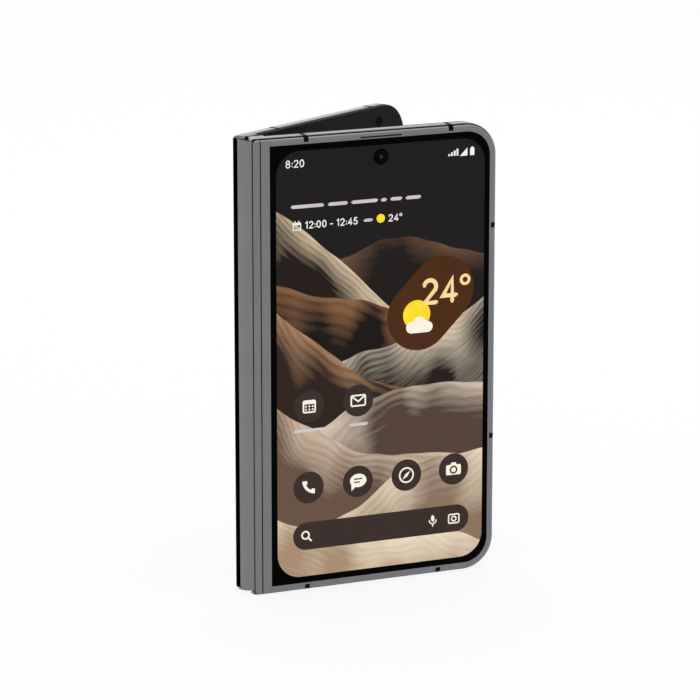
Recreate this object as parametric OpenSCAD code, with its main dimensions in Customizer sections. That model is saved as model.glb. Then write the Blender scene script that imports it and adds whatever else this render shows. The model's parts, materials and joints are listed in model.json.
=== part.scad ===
// Foldable smartphone, standing partly open on its lower edge.
// Two slim halves turn about their own axes in a narrow spine, and four
// small gears at each end of the spine keep the two halves in step.

/* [Phone] */
// Height of the phone
height = 139.7; // [120:0.1:160]
// Width of one half, from the fold edge to the free edge
half_w = 79.35; // [74:0.05:88]
// Thickness of one half
half_t = 5.8; // [5.6:0.05:6.6]
// Gap between the two inner faces when the phone is closed
closed_gap = 0.5; // [0.3:0.05:0.8]
// Radius of the two outer corners, seen from the front
corner_r = 10; // [7:0.5:13]
// Angle between the two halves in the stored pose
open_angle = 30; // [10:1:60]

/* [Frame] */
// Width of the metal rim beside the outer glass
rim_w = 2.4; // [1.9:0.1:2.6]
// Width of the rails under the glass
rail_w = 3.2; // [2.8:0.1:3.8]
// Radius of the rail's edge next to the outer glass
rail_outer_r = 1.5; // [0.8:0.1:1.6]
// Radius of the rail's edge next to the inner screen
rail_inner_r = 0.5; // [0.2:0.1:0.7]
// Place of the groove along the rail's outer edge, from the inner face
edge_line_v = 5; // [4.8:0.05:5.1]
// Width of that groove
edge_line_w = 0.35; // [0.2:0.05:0.4]
// Thickness of the middle plate that carries the inner parts
mid_plate_t = 0.55; // [0.4:0.05:0.7]
// Width of a plastic antenna break
break_w = 1.6; // [1:0.1:2.2]
// Depth of an antenna break
break_depth = 0.7; // [0.4:0.1:1]
// First antenna break of the top and bottom rails, from the fold edge
break_near_u = 17; // [14:0.5:22]
// Second antenna break of the top rail, from the free edge
break_top_in = 15.35; // [12.5:0.05:23]
// Second antenna break of the bottom rail, from the free edge
break_bottom_in = 18.85; // [14:0.05:26]
// Lower antenna break of the free edge, from the bottom
break_low_z = 42; // [30:0.5:50]
// Upper antenna break of the free edge, from the top
break_high_drop = 31.7; // [28:0.1:32.6]

/* [Glass and screens] */
// Thickness of the outer glass and of the back glass
glass_t = 0.6; // [0.4:0.05:0.7]
// Gap round the glass
glass_gap = 0.05; // [0.02:0.01:0.15]
// Black border beside the cover screen, from the free edge
screen_side_w = 4.15; // [3.6:0.05:8]
// Black border above and below the cover screen
screen_end_w = 4.4; // [4:0.1:10]
// Thickness of the cover screen
cover_screen_t = 0.5; // [0.3:0.05:0.6]
// Radius of the cover screen's corners
cover_screen_r = 7.5; // [4:0.5:9]
// Left edge of the cover screen, from the fold edge
cover_screen_u = 7.3; // [7:0.1:8.2]
// Radius of the hole for the front camera
punch_r = 2.3; // [1.8:0.1:2.6]
// Front camera's centre, from the fold edge
front_camera_u = 41.1; // [36:0.1:46]
// Front camera's centre, below the top of the phone
front_camera_drop = 8; // [7.5:0.1:10]
// Depth of the folding screen below the bezel
panel_sink = 0.2; // [0.1:0.05:0.25]
// Thickness of the folding screen
panel_t = 0.35; // [0.25:0.05:0.4]
// Thickness of the steel plate behind the folding screen
support_t = 0.2; // [0.15:0.05:0.3]
// Width of the inner bezel above and below the folding screen
bezel_end_w = 9.4; // [6:0.1:11]
// Width of the inner bezel along the free edge
bezel_side_w = 4.6; // [4.2:0.1:6]
// Gap between the bezel and the metal rail
bezel_groove = 0.4; // [0.2:0.05:0.45]

/* [Hinge] */
// Distance of each half's turning axis from the fold edge and from the middle plane
axis_in = 2.15; // [2.1:0.01:2.18]
// Thickness of the curved wall on each half's fold edge
wall_t = 0.6; // [0.5:0.05:0.65]
// Thickness of the spine's cover
cover_t = 0.6; // [0.4:0.05:0.65]
// Gap between the spine's cover and the curved walls
spine_gap = 0.2; // [0.15:0.01:0.25]
// Gap between the two fold edges when the phone lies open
fold_edge_gap = 0.2; // [0.1:0.02:0.3]
// How far the spine's outer face bulges past the fold edges
spine_crown = 0.25; // [0.1:0.01:0.3]
// Radius of the spine's outer face
spine_face_r = 38; // [34:0.5:60]
// Thickness of the end plates of the fold edges
end_plate_t = 0.8; // [0.6:0.05:1]
// Radius of the end plate's corner next to the inner screen
end_plate_r = 2.4; // [1.5:0.1:2.6]
// Rounding of the fold edge's outer corner
fold_corner_r = 0.7; // [0.5:0.1:1]
// Distance of the seam between hinge rail and glass from the fold edge
seam_u = 5.35; // [5.3:0.01:5.5]
// Gap at that seam
seam_gap = 0.05; // [0.03:0.01:0.08]
// Thickness of the upright web behind the seam
web_t = 0.6; // [0.4:0.05:0.8]
// Radius of the hinge shafts
shaft_r = 0.5; // [0.4:0.01:0.52]
// Radius of the idler gears' journals
journal_r = 0.35; // [0.25:0.01:0.4]
// Radial running clearance of shafts and journals
running = 0.04; // [0.02:0.01:0.08]
// Number of teeth on each gear
gear_teeth = 10; // [8:2:12]
// Length of the gears
gear_len = 1.7; // [1:0.1:2.5]
// Thickness of the bearing walls
bearing_t = 0.8; // [0.6:0.05:1]
// Number of torque clips on each shaft
clip_count = 4; // [2:1:6]
// Thickness of one torque clip
clip_t = 0.85; // [0.6:0.05:1]
// Gap between neighbours along a shaft
end_play = 0.1; // [0.05:0.01:0.15]
// Height of the swing arms
arm_h = 2.4; // [2:0.1:3]
// Thickness of the swing arms
arm_t = 0.7; // [0.5:0.05:0.8]
// Length of the swing arms from the hinge axis
arm_len = 11; // [9:0.5:14]

/* [Buttons and ports] */
// Thickness of the buttons, front to back
button_t = 2.2; // [1.8:0.1:2.4]
// How far the buttons stand proud of the rail
button_proud = 0.35; // [0.3:0.05:0.5]
// Gap round the buttons
button_gap = 0.08; // [0.05:0.01:0.12]
// Travel of the power button
button_travel = 0.25; // [0.15:0.01:0.28]
// Length of the power button
power_l = 13; // [10:0.5:16]
// Centre of the power button, below the top of the phone
power_drop = 42.7; // [41.7:0.1:44.7]
// Length of the volume rocker
volume_l = 22; // [18:0.5:24]
// Centre of the volume rocker, below the top of the phone
volume_drop = 67.7; // [65.7:0.1:69.7]
// Width of the USB-C opening
usb_w = 8.34; // [8.3:0.01:8.4]
// Height of the USB-C opening
usb_h = 2.56; // [2.5:0.01:2.6]
// Depth of the USB-C receptacle
usb_depth = 7.3; // [6.5:0.1:8]
// Wall of the USB-C receptacle's shell
usb_wall = 0.3; // [0.2:0.05:0.35]
// Centre of the USB-C opening, from the fold edge
usb_u = 42.4; // [38:0.1:46]
// Number of holes over the loudspeaker
speaker_holes = 6; // [4:1:7]
// Radius of the holes over the loudspeaker
speaker_hole_r = 0.6; // [0.4:0.05:0.7]
// Width of the SIM tray's cover
sim_w = 14.6; // [13.5:0.1:16]
// Thickness of the SIM tray's cover, front to back
sim_t = 2; // [1.8:0.1:2.2]
// Length of the SIM tray
sim_len = 17; // [16:0.5:19]
// Centre of the SIM tray, from the fold edge
sim_u = 32; // [30:0.5:36]

/* [Camera bar] */
// Length of the camera bar
bar_w = 58; // [52:0.5:62]
// Height of the camera bar
bar_h = 17; // [15:0.5:19]
// How far the camera bar stands out of the back glass
bar_proud = 2.2; // [1.5:0.1:3]
// Wall of the camera bar's ring
bar_wall = 1.2; // [0.8:0.1:1.6]
// Centre of the camera bar below the top of the phone
bar_drop = 19; // [17:0.5:22]
// Radius of the main camera
main_camera_r = 5; // [4:0.1:5.5]
// Radius of the wide camera
wide_camera_r = 4; // [3:0.1:4.5]
// Radius of the long camera
long_camera_r = 4; // [3:0.1:4.5]

/* [Inside] */
// Thickness of the batteries
battery_t = 3; // [2.6:0.1:3.1]
// Space above each battery
battery_drop = 51.7; // [46:0.1:60]
// Bottom of each battery, from the bottom of the phone
battery_z = 28; // [26:1:30]
// Thickness of the circuit boards
board_t = 0.8; // [0.6:0.1:1]
// Space between inner parts and what they face
inner_gap = 0.1; // [0.05:0.01:0.2]

/* [Hidden] */
$fn = 64;

front = -1;                                  // side of the middle plane
rear = 1;
tilt = open_angle / 2;                       // turn of each half away from closed
face_y = closed_gap / 2 + half_t;            // outer face of a closed half
wall_r = face_y - axis_in;                   // outside of the curved wall
wall_in_r = wall_r - wall_t;
edge_u = fold_edge_gap / 2;                  // where a half begins
edge_line_in = 0.55;                         // floor of the edge groove inside the outline
fold_corner_x = edge_u + fold_corner_r - axis_in;    // centre of the outer corner, from the axis
fold_corner_y = -sqrt(pow(wall_r - fold_corner_r, 2) - pow(fold_corner_x, 2));

// Depths through a half, counted from its inner face
panel_v = panel_sink;
support_v = panel_v + panel_t;
mid_v = support_v + support_t;               // inner side of the middle plate
mid_top_v = mid_v + mid_plate_t;
rail_v = mid_v + bezel_groove;               // inner side of the metal rail
glass_v = half_t - glass_t;                  // seat of the outer glass
screen_v = glass_v - cover_screen_t;
centre_v = (rail_v + half_t) / 2;            // middle of the rail

frame_u = seam_u + seam_gap;                 // where rails and glass begin
web_u = seam_u + web_t;                      // far side of the upright web
glass_in = rim_w + glass_gap;                // glass edge inside the outline
glass_r = corner_r - glass_in;
cover_screen_w = half_w - cover_screen_u - screen_side_w;
break_far_top_u = half_w - break_top_in;
break_far_bottom_u = half_w - break_bottom_in;
break_high_z = height - break_high_drop;
power_z = height - power_drop;
volume_z = height - volume_drop;
battery_h = height - battery_drop - battery_z;
film_u = web_u;                              // where the folding screen becomes rigid
battery_end_u = half_w - rail_w - 3;         // where batteries and boards end
panel_corner_r = 3;                          // corners of the folding screen
joint_lap = 0.4;                             // how far joined shapes run into each other
housing_r = punch_r + 1.2;                   // housing of the front camera

// The stored pose stands centred over the origin
bar_top_v = half_t + bar_proud;
bezel_edge = 0.1;                            // bezel outline inside the rail's
bezel_round = 0.5;
bar_mid_u = (frame_u + half_w) / 2;
button_edge = half_w + button_proud;
function turned_x(u, v) = axis_in + (u - axis_in) * cos(tilt) - (v + closed_gap / 2 - axis_in) * sin(tilt);
function turned_y(u, v) = axis_in + (u - axis_in) * sin(tilt) + (v + closed_gap / 2 - axis_in) * cos(tilt);
low_x = axis_in + fold_corner_x * cos(tilt) + fold_corner_y * sin(tilt) - fold_corner_r;
high_x = max(turned_x(half_w - bezel_edge - bezel_round, bezel_round) + bezel_round,
             turned_x(button_edge, centre_v - button_t / 2));
low_y = -turned_y(half_w - rail_outer_r, half_t - rail_outer_r) - rail_outer_r;
high_y = max(-low_y, turned_y(bar_mid_u + bar_w / 2, bar_top_v));
shift = [-(low_x + high_x) / 2, -(low_y + high_y) / 2, 0];

// ---------- places ----------

// A spine piece, drawn in the closed phone's plan (x across, y front to back)
module in_spine() {
    translate(shift) children();
}

// A piece of one half, drawn upright in the closed phone's plan
module in_half(side) {
    in_spine()
        mirror([0, side == rear ? 1 : 0, 0])
            translate([axis_in, -axis_in, 0])
                rotate([0, 0, -tilt])
                    translate([-axis_in, axis_in, 0])
                        children();
}

// A piece of one half, drawn lying flat: x from the fold edge, y up the phone, z from the inner face
module flat(side) {
    in_half(side)
        translate([0, -closed_gap / 2, 0])
            rotate([90, 0, 0])
                children();
}

// Copies for the bottom and the top of the phone
module both_ends() {
    children();
    translate([0, 0, height]) mirror([0, 0, 1]) children();
}

// ---------- outlines ----------

// Rectangle from low to high corner, its right corners rounded by r and its left ones by left_r
module plate_2d(u0, z0, u1, z1, r, left_r = 0.01) {
    translate([u0 + left_r, z0]) square([u1 - u0 - left_r - r, z1 - z0]);
    translate([u0, z0 + left_r]) square([left_r + 0.01, z1 - z0 - 2 * left_r]);
    translate([u1 - r - 0.01, z0 + r]) square([r + 0.01, z1 - z0 - 2 * r]);
    for (z = [z0 + r, z1 - r]) translate([u1 - r, z]) circle(r);
    for (z = [z0 + left_r, z1 - left_r]) translate([u0 + left_r, z]) circle(left_r);
}

// Slot with round ends, w long and h high, about the origin
module slot_2d(w, h) {
    square([w - h, h], center = true);
    for (x = [-1, 1]) translate([x * (w - h) / 2, 0]) circle(h / 2);
}

// Sweeps a rail profile round the three closed sides; profile x is corner_r at the outline
module sweep_sides() {
    straight = half_w - corner_r - frame_u;
    for (top = [0, 1])
        translate([0, top * height, 0]) mirror([0, top, 0])
            translate([frame_u, corner_r, 0]) mirror([0, 1, 0]) {
                rotate([90, 0, 90]) linear_extrude(straight) children();
                translate([straight, 0, 0]) rotate_extrude(angle = 90) children();
            }
    translate([half_w - corner_r, height - corner_r, 0])
        rotate([90, 0, 0]) linear_extrude(height - 2 * corner_r) children();
}

// Keeps what lies inside the rail's rounded edges
module rail_round_2d(inset = 0) {
    r_out = rail_outer_r;
    r_in = rail_inner_r;
    edge = corner_r - inset;
    translate([0, rail_v]) square([edge - r_out, half_t - inset - rail_v]);
    translate([0, rail_v + r_in]) square([edge, half_t - inset - r_out - rail_v - r_in]);
    translate([edge - r_out, half_t - inset - r_out]) circle(r_out);
    translate([edge - r_in, rail_v + r_in]) circle(r_in);
}

// Section of the metal rail, with the step that the glass lies in
module rail_2d() {
    difference() {
        intersection() {
            union() {
                translate([corner_r - rail_w, rail_v]) square([rail_w, glass_v - rail_v]);
                translate([corner_r - rim_w, rail_v]) square([rim_w, half_t - rail_v]);
            }
            rail_round_2d();
        }
        translate([corner_r - edge_line_in, edge_line_v]) square([rim_w, edge_line_w]);
    }
}

// Outer skin of the rail, which the antenna breaks fill
module rail_skin_2d() {
    difference() {
        rail_2d();
        translate([0, rail_v - 1]) square([corner_r - break_depth, glass_v + 1 - rail_v]);
    }
}

// ---------- the metal frames ----------

module break_cuts() {
    for (u = [break_near_u, break_far_bottom_u])
        translate([u - break_w / 2, -1, 0]) cube([break_w, corner_r, half_t + 1]);
    for (u = [break_near_u, break_far_top_u])
        translate([u - break_w / 2, height - corner_r, 0]) cube([break_w, corner_r + 1, half_t + 1]);
    for (z = [break_low_z, break_high_z])
        translate([half_w - corner_r, z - break_w / 2, 0])
            cube([corner_r + 1, break_w, half_t + 1]);
}

module antenna_breaks(side) {
    flat(side)
        intersection() {
            sweep_sides() rail_skin_2d();
            break_cuts();
        }
}

// Rails round three sides and the plate between them
module frame_body() {
    difference() {
        union() {
            sweep_sides() rail_2d();
            plate = rail_w - joint_lap;
            translate([0, 0, mid_v])
                linear_extrude(rail_v - mid_v)
                    plate_2d(web_u + seam_gap, rail_w, half_w - rail_w, height - rail_w, corner_r - rail_w);
            translate([0, 0, rail_v])
                linear_extrude(mid_top_v - rail_v)
                    plate_2d(web_u + seam_gap, plate, half_w - plate, height - plate, corner_r - plate);
        }
        intersection() {
            sweep_sides() rail_skin_2d();
            break_cuts();
        }
        // holes for the swing arms' screws
        arm_screws() cylinder(r = screw_r + inner_gap / 2, h = 2 * half_t, center = true);
    }
}

module front_frame() color("dimgray") flat(front)
    difference() {
        frame_body();
        // earpiece slot in the rim above the glass
        earpiece_place() linear_extrude(half_t) slot_2d(earpiece_w, earpiece_h);
        // tray opening through the bottom rail
        translate([sim_u, 0, centre_v]) rotate([90, 0, 0])
            linear_extrude(4 * rail_w, center = true)
                slot_2d(sim_w + 2 * button_gap, sim_t + 2 * button_gap);
    }

module rear_frame() color("dimgray") flat(rear)
    difference() {
        frame_body();
        // buttons
        for (b = [[power_z, power_l], [volume_z, volume_l]])
            translate([half_w, b[0], centre_v]) rotate([90, 0, 90])
                linear_extrude(4 * rail_w, center = true)
                    slot_2d(b[1] + 2 * button_gap, button_t + 2 * button_gap);
        // USB-C opening
        translate([usb_u, 0, centre_v]) rotate([90, 0, 0])
            linear_extrude(4 * rail_w, center = true)
                slot_2d(usb_w + 2 * usb_wall + inner_gap, usb_h + 2 * usb_wall + inner_gap);
        // loudspeaker and microphone holes
        for (i = [0 : speaker_holes - 1])
            translate([speaker_end_u - speaker_hole_r - i * speaker_pitch, 0, centre_v])
                rotate([90, 0, 0]) cylinder(r = speaker_hole_r, h = 4 * rail_w, center = true);
        translate([mic_u, 0, centre_v]) rotate([90, 0, 0])
            cylinder(r = mic_r, h = 4 * rail_w, center = true);
        // inner camera
        inner_camera_place() cylinder(r = inner_camera_r + inner_gap / 2, h = half_t);
    }

earpiece_w = 13.5;
earpiece_h = 0.45;
earpiece_depth = 1.2;                        // depth of the slot
earpiece_sink = 0.3;                         // how far the mesh lies below the rim
module earpiece_place() {
    translate([front_camera_u, height - 0.75 * rim_w, half_t - earpiece_depth]) children();
}
speaker_pitch = 1.8;
speaker_end_u = break_far_bottom_u - break_w;
speaker_box_u = usb_u + usb_w / 2 + usb_wall + 0.6;
speaker_box_end = half_w - corner_r;
speaker_box_h = 12;
speaker_box_t = 3.2;
mic_u = usb_u - usb_w;
mic_r = 0.4;
inner_camera_r = 1.6;
inner_camera_u = 66;
module inner_camera_place() {
    translate([inner_camera_u, height - bezel_end_w / 2, -inner_gap]) children();
}

// Outline of a half's fold edge, seen from its end, out to a distance u
module fold_end_2d(u) {
    intersection() {
        translate([edge_u, -face_y]) square([u - edge_u, half_t]);
        union() {
            translate([axis_in, -axis_in]) circle(wall_r, $fn = 96);
            translate([axis_in, -face_y]) square([u, face_y]);
        }
        // outer corner
        translate([axis_in, -axis_in]) union() {
            translate([fold_corner_x, fold_corner_y]) circle(fold_corner_r);
            translate([-axis_in, fold_corner_y]) square([u, face_y]);
            polygon([[0, 0], [2 * fold_corner_x, 2 * fold_corner_y],
                     [u, 2 * fold_corner_y], [u, 0]]);
        }
        union() {
            translate([edge_u + end_plate_r, -closed_gap / 2 - end_plate_r]) circle(end_plate_r);
            translate([edge_u + end_plate_r, -face_y]) square([u, face_y]);
            translate([0, -face_y]) square([u, half_t - end_plate_r]);
        }
    }
}

ledge_t = 0.6;                               // thickness of the ledge under the glass
face_line_u = axis_in + 0.1;                 // groove where the curved wall ends
face_line_w = 0.3;
face_line_depth = 0.2;

// Upright section w wide whose far corners have the rail's edge radius
module end_round_2d(w) {
    r = rail_outer_r;
    square([w - r, height]);
    translate([0, r]) square([w, height - 2 * r]);
    for (z = [r, height - r]) translate([w - r, z]) circle(r);
}

// What lies inside the rounded ends of a fold edge
module fold_round() {
    translate([axis_in, -axis_in, 0]) rotate_extrude($fn = 96) end_round_2d(wall_r);
    translate([axis_in, 0, 0]) rotate([90, 0, 90]) linear_extrude(web_u - axis_in)
        mirror([1, 0]) end_round_2d(face_y);
}

// Groove along the outer edge of the end plates, which goes on in the rails
module fold_edge_line() {
    line_y = closed_gap / 2 + edge_line_v;
    both_ends() {
        translate([axis_in, -line_y - edge_line_w, -1])
            cube([seam_u, edge_line_w, 1 + edge_line_in]);
        translate([axis_in, -axis_in, -1]) rotate([0, 0, 180]) rotate_extrude(angle = 90)
            translate([line_y - axis_in, 0]) square([edge_line_w, 1 + edge_line_in]);
    }
}

// Curved wall, end plates and upright web of a fold edge
module hinge_rail(side) {
    ledge_u = seam_u - web_t;
    in_half(side) {
        difference() {
            intersection() {
                fold_round();
                union() {
                    linear_extrude(height)
                        difference() {
                            fold_end_2d(seam_u);
                            translate([axis_in, -axis_in]) circle(wall_in_r, $fn = 96);
                            translate([axis_in, wall_t - face_y]) square([seam_u, face_y]);
                        }
                    both_ends() linear_extrude(end_plate_t) fold_end_2d(seam_u);
                    // ledge that joins the wall to the web and carries the glass
                    translate([ledge_u, -closed_gap / 2 - glass_v, end_plate_t / 2])
                        cube([seam_u - ledge_u, ledge_t, height - end_plate_t]);
                    translate([ledge_u, -closed_gap / 2 - glass_v, rail_w + seam_gap])
                        cube([web_u - ledge_u, ledge_t, height - 2 * rail_w - 2 * seam_gap]);
                    translate([seam_u, -closed_gap / 2 - glass_v, rail_w + seam_gap])
                        cube([web_t, glass_v - mid_v, height - 2 * rail_w - 2 * seam_gap]);
                }
            }
            fold_edge_line();
            translate([face_line_u, -face_y - 1, -1])
                cube([face_line_w, 1 + face_line_depth, height + 2]);
            // windows for the swing arms
            both_ends()
                translate([0, -axis_in - arm_t / 2 - inner_gap, arm_z - inner_gap])
                    cube([3 * seam_u, arm_t + 2 * inner_gap, arm_h + 2 * inner_gap]);
        }
    }
}

module front_hinge_rail() color("silver") hinge_rail(front);
module rear_hinge_rail() color("silver") hinge_rail(rear);
module front_antenna_breaks() color("#202020") antenna_breaks(front);
module rear_antenna_breaks() color("#202020") antenna_breaks(rear);

// ---------- glass and screens ----------

module cover_glass_2d() {
    plate_2d(frame_u, glass_in, half_w - glass_in, height - glass_in, glass_r, 1);
}

module cover_glass() color("black", 0.6) flat(front)
    translate([0, 0, glass_v]) linear_extrude(glass_t) cover_glass_2d();

module cover_screen() color("#3a3230") flat(front)
    translate([0, 0, screen_v]) linear_extrude(cover_screen_t)
        difference() {
            plate_2d(cover_screen_u, screen_end_w, cover_screen_u + cover_screen_w, height - screen_end_w,
                     cover_screen_r, cover_screen_r);
            translate([front_camera_u, height - front_camera_drop]) circle(punch_r);
        }

module back_glass() color("#1c1c1e") flat(rear)
    translate([0, 0, glass_v]) linear_extrude(glass_t)
        difference() {
            cover_glass_2d();
            translate(bar_centre) slot_2d(bar_w + 2 * glass_gap, bar_h + 2 * glass_gap);
        }

// Ring of plastic round the folding screen
module bezel_2d() {
    intersection() {
        translate([corner_r - bezel_side_w, 0]) square([bezel_side_w, mid_v]);
        union() {
            square([corner_r - bezel_edge - bezel_round, mid_v]);
            translate([0, bezel_round]) square([corner_r - bezel_edge, mid_v]);
            translate([corner_r - bezel_edge - bezel_round, bezel_round]) circle(bezel_round);
        }
    }
    // foot that rests on the metal rail
    translate([corner_r - rail_w, mid_v - joint_lap])
        square([rail_w - joint_lap, rail_v - mid_v + joint_lap]);
}

bezel_u = film_u + glass_gap;                // bezel begins beside the bending film
module bezel_body() {
    intersection() {
        sweep_sides() bezel_2d();
        translate([bezel_u, 0, 0]) cube([half_w, height, half_t]);
    }
    for (top = [0, 1])
        translate([0, top * height, 0]) mirror([0, top, 0])
            linear_extrude(mid_v)
                difference() {
                    translate([bezel_u, bezel_side_w - joint_lap])
                        square([half_w - bezel_side_w + joint_lap - bezel_u,
                                bezel_end_w + panel_corner_r - bezel_side_w + joint_lap]);
                    panel_2d(0, 0);
                }
}

// Folding screen's rigid part in one half, from u, drawn smaller by gap
module panel_2d(u, gap) {
    plate_2d(u, bezel_end_w + gap, half_w - bezel_side_w - gap, height - bezel_end_w - gap,
             panel_corner_r);
}

module front_bezel() color("#2a2a2c") flat(front) bezel_body();
module rear_bezel() color("#2a2a2c") flat(rear)
    difference() {
        bezel_body();
        inner_camera_place() cylinder(r = inner_camera_r + inner_gap / 2, h = half_t);
    }

module panel_body(v, t) {
    translate([0, 0, v]) linear_extrude(t) panel_2d(film_u, glass_gap);
}
module front_panel() color("#0c0c0e") flat(front) panel_body(panel_v, panel_t);
module rear_panel() color("#0c0c0e") flat(rear) panel_body(panel_v, panel_t);
module front_support_plate() color("gray") flat(front) panel_body(support_v, support_t);
module rear_support_plate() color("gray") flat(rear) panel_body(support_v, support_t);

// Part of the folding screen that bends: flat at x = film_x with the phone open.
// A point turns back with its half by a share that grows from the middle to film_u.
film_steps = 8;
film_x = 2 * axis_in - closed_gap / 2 - panel_v;
function share(s) = s * s * (3 - 2 * s);
function film_point(x, s) =
    let (turn = (90 - tilt) * share(abs(s)), dx = x - axis_in, dy = axis_in - abs(s) * film_u)
    [axis_in + dx * cos(turn) - dy * sin(turn),
     (s < 0 ? 1 : -1) * (axis_in - dx * sin(turn) - dy * cos(turn))];
module fold_film() color("#0c0c0e") in_spine()
    translate([0, 0, end_plate_t + end_play])
        linear_extrude(height - 2 * end_plate_t - 2 * end_play)
            polygon([for (i = [-film_steps : film_steps]) film_point(film_x, i / film_steps),
                     for (i = [film_steps : -1 : -film_steps])
                         film_point(film_x - panel_t, i / film_steps)]);

// ---------- the spine ----------

cover_r = wall_in_r - spine_gap;
module spine_2d(inset) {
    intersection() {
        translate([spine_face_r - spine_crown, 0]) circle(spine_face_r - inset, $fn = 180);
        union() {
            for (y = [-axis_in, axis_in]) translate([axis_in, y]) circle(cover_r - inset, $fn = 96);
            translate([-2 * axis_in, -axis_in]) square([4 * axis_in, 2 * axis_in]);
        }
    }
}

cap_z = end_plate_t + 1.5 * end_play;
cap_t = 0.35;
cover_open_x = 1.5;                          // where the cover's sides end
module spine_cover() color("silver") in_spine()
    translate([0, 0, cap_z]) linear_extrude(height - 2 * cap_z)
        intersection() {
            difference() {
                spine_2d(0);
                spine_2d(cover_t);
            }
            translate([-2 * axis_in, -face_y]) square([2 * axis_in + cover_open_x, 2 * face_y]);
        }

// Section of a piece that fits inside the cover, up to x
module inside_cover_2d(x0, x1, y) {
    intersection() {
        spine_2d(cover_t + running);
        translate([x0, -y]) square([x1 - x0, 2 * y]);
    }
}

module spine_caps() color("#161616") in_spine() both_ends()
    translate([0, 0, cap_z]) linear_extrude(cap_t) inside_cover_2d(-1, block_x, face_y);

block_x = film_x - panel_t - 0.25;           // innermost reach of the spine's parts
floor_x = 0.7;                               // top of the floor that the walls stand on
bed_x = film_x - panel_t - 0.05;             // bed that the film's middle lies on
bed_y = 0.35;
wall1_z = cap_z + cap_t;
gear_z = wall1_z + bearing_t + end_play;
wall2_z = gear_z + gear_len + end_play;
clip_z = wall2_z + bearing_t + end_play;
arm_z = clip_z + clip_count * (clip_t + end_play);
wall3_z = arm_z + arm_h + end_play;
block_end_z = wall3_z + bearing_t;
bearing_y = 4.2;                             // half width of the bearing walls
core_y = 3.6;                                // half width of the core
shaft_ys = [-axis_in, axis_in];
idler_ys = [-axis_in / 3, axis_in / 3];

// Three bearing walls on a floor, drawn for the bottom end
module hinge_block() {
    in_spine() difference() {
        union() {
            translate([0, 0, wall1_z]) linear_extrude(block_end_z - wall1_z)
                inside_cover_2d(-1, floor_x, bearing_y);
            for (z = [wall1_z, wall2_z, wall3_z])
                translate([0, 0, z]) linear_extrude(bearing_t) {
                    inside_cover_2d(-1, block_x, bearing_y);
                    translate([floor_x, -bed_y]) square([bed_x - floor_x, 2 * bed_y]);
                }
        }
        for (y = shaft_ys)
            translate([axis_in, y, 0]) cylinder(r = shaft_r + running, h = block_end_z + 1);
        for (y = idler_ys)
            translate([axis_in, y, 0])
                cylinder(r = journal_r + running, h = wall2_z + bearing_t + end_play);
    }
}
module lower_hinge_block() color("gray") hinge_block();
module upper_hinge_block() color("gray")
    translate([0, 0, height]) mirror([0, 0, 1]) hinge_block();

// Bed along the middle of the spine, between the two hinge blocks
module spine_core() color("gray") in_spine()
    translate([0, 0, block_end_z + end_play]) linear_extrude(height - 2 * (block_end_z + end_play)) {
        inside_cover_2d(-1, floor_x, core_y);
        translate([floor_x - 0.1, -bed_y]) square([bed_x - floor_x + 0.1, 2 * bed_y]);
    }

clip_slot = 0.3;
// Spring clips that grip the shafts and hold the phone at any angle
module torque_clips() color("silver") in_spine() both_ends()
    for (y = shaft_ys, i = [0 : clip_count - 1])
        translate([axis_in, y, clip_z + i * (clip_t + end_play)])
            linear_extrude(clip_t) difference() {
                union() {
                    circle(2 * shaft_r);
                    translate([floor_x - axis_in, -0.7 * shaft_r])
                        square([axis_in - floor_x, 1.4 * shaft_r]);
                }
                circle(shaft_r + running / 2);
                // slot that lets the clip grip
                translate([0, y > 0 ? 0 : -axis_in]) square([clip_slot, axis_in]);
            }

// Spur gear section about the origin, one tooth pointing along +y when phase is 0
module gear_2d(phase) {
    pitch_r = axis_in / 3;
    module_size = 2 * pitch_r / gear_teeth;
    tip_r = pitch_r + 0.8 * module_size;
    root_r = pitch_r - 1.0 * module_size;
    half_tooth = 90 / gear_teeth * 0.9;      // half tooth at the pitch circle, in degrees
    tip_half = half_tooth * 0.42;
    root_half = half_tooth * 1.45;
    circle(root_r);
    for (i = [0 : gear_teeth - 1])
        rotate([0, 0, (i + phase) * 360 / gear_teeth])
            polygon([[0, 0],
                     [root_r * sin(root_half), root_r * cos(root_half)],
                     [pitch_r * sin(half_tooth), pitch_r * cos(half_tooth)],
                     [tip_r * sin(tip_half), tip_r * cos(tip_half)],
                     [-tip_r * sin(tip_half), tip_r * cos(tip_half)],
                     [-pitch_r * sin(half_tooth), pitch_r * cos(half_tooth)],
                     [-root_r * sin(root_half), root_r * cos(root_half)]]);
}

// Gear on a round shaft, at distance y from the middle plane, at both ends of the phone
module gear_shaft(y, phase, r, end_z) {
    in_spine() both_ends()
        translate([axis_in, y, 0]) {
            translate([0, 0, gear_z]) linear_extrude(gear_len) gear_2d(phase);
            translate([0, 0, wall1_z + end_play]) cylinder(r = r, h = end_z - wall1_z - 2 * end_play);
        }
}
module front_hinge_shafts() color("silver") gear_shaft(-axis_in, 0, shaft_r, block_end_z);
module front_idler_gears() color("goldenrod")
    gear_shaft(-axis_in / 3, 0.5, journal_r, wall2_z + bearing_t);
module rear_idler_gears() color("goldenrod")
    gear_shaft(axis_in / 3, 0, journal_r, wall2_z + bearing_t);
module rear_hinge_shafts() color("silver") gear_shaft(axis_in, 0.5, shaft_r, block_end_z);

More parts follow.
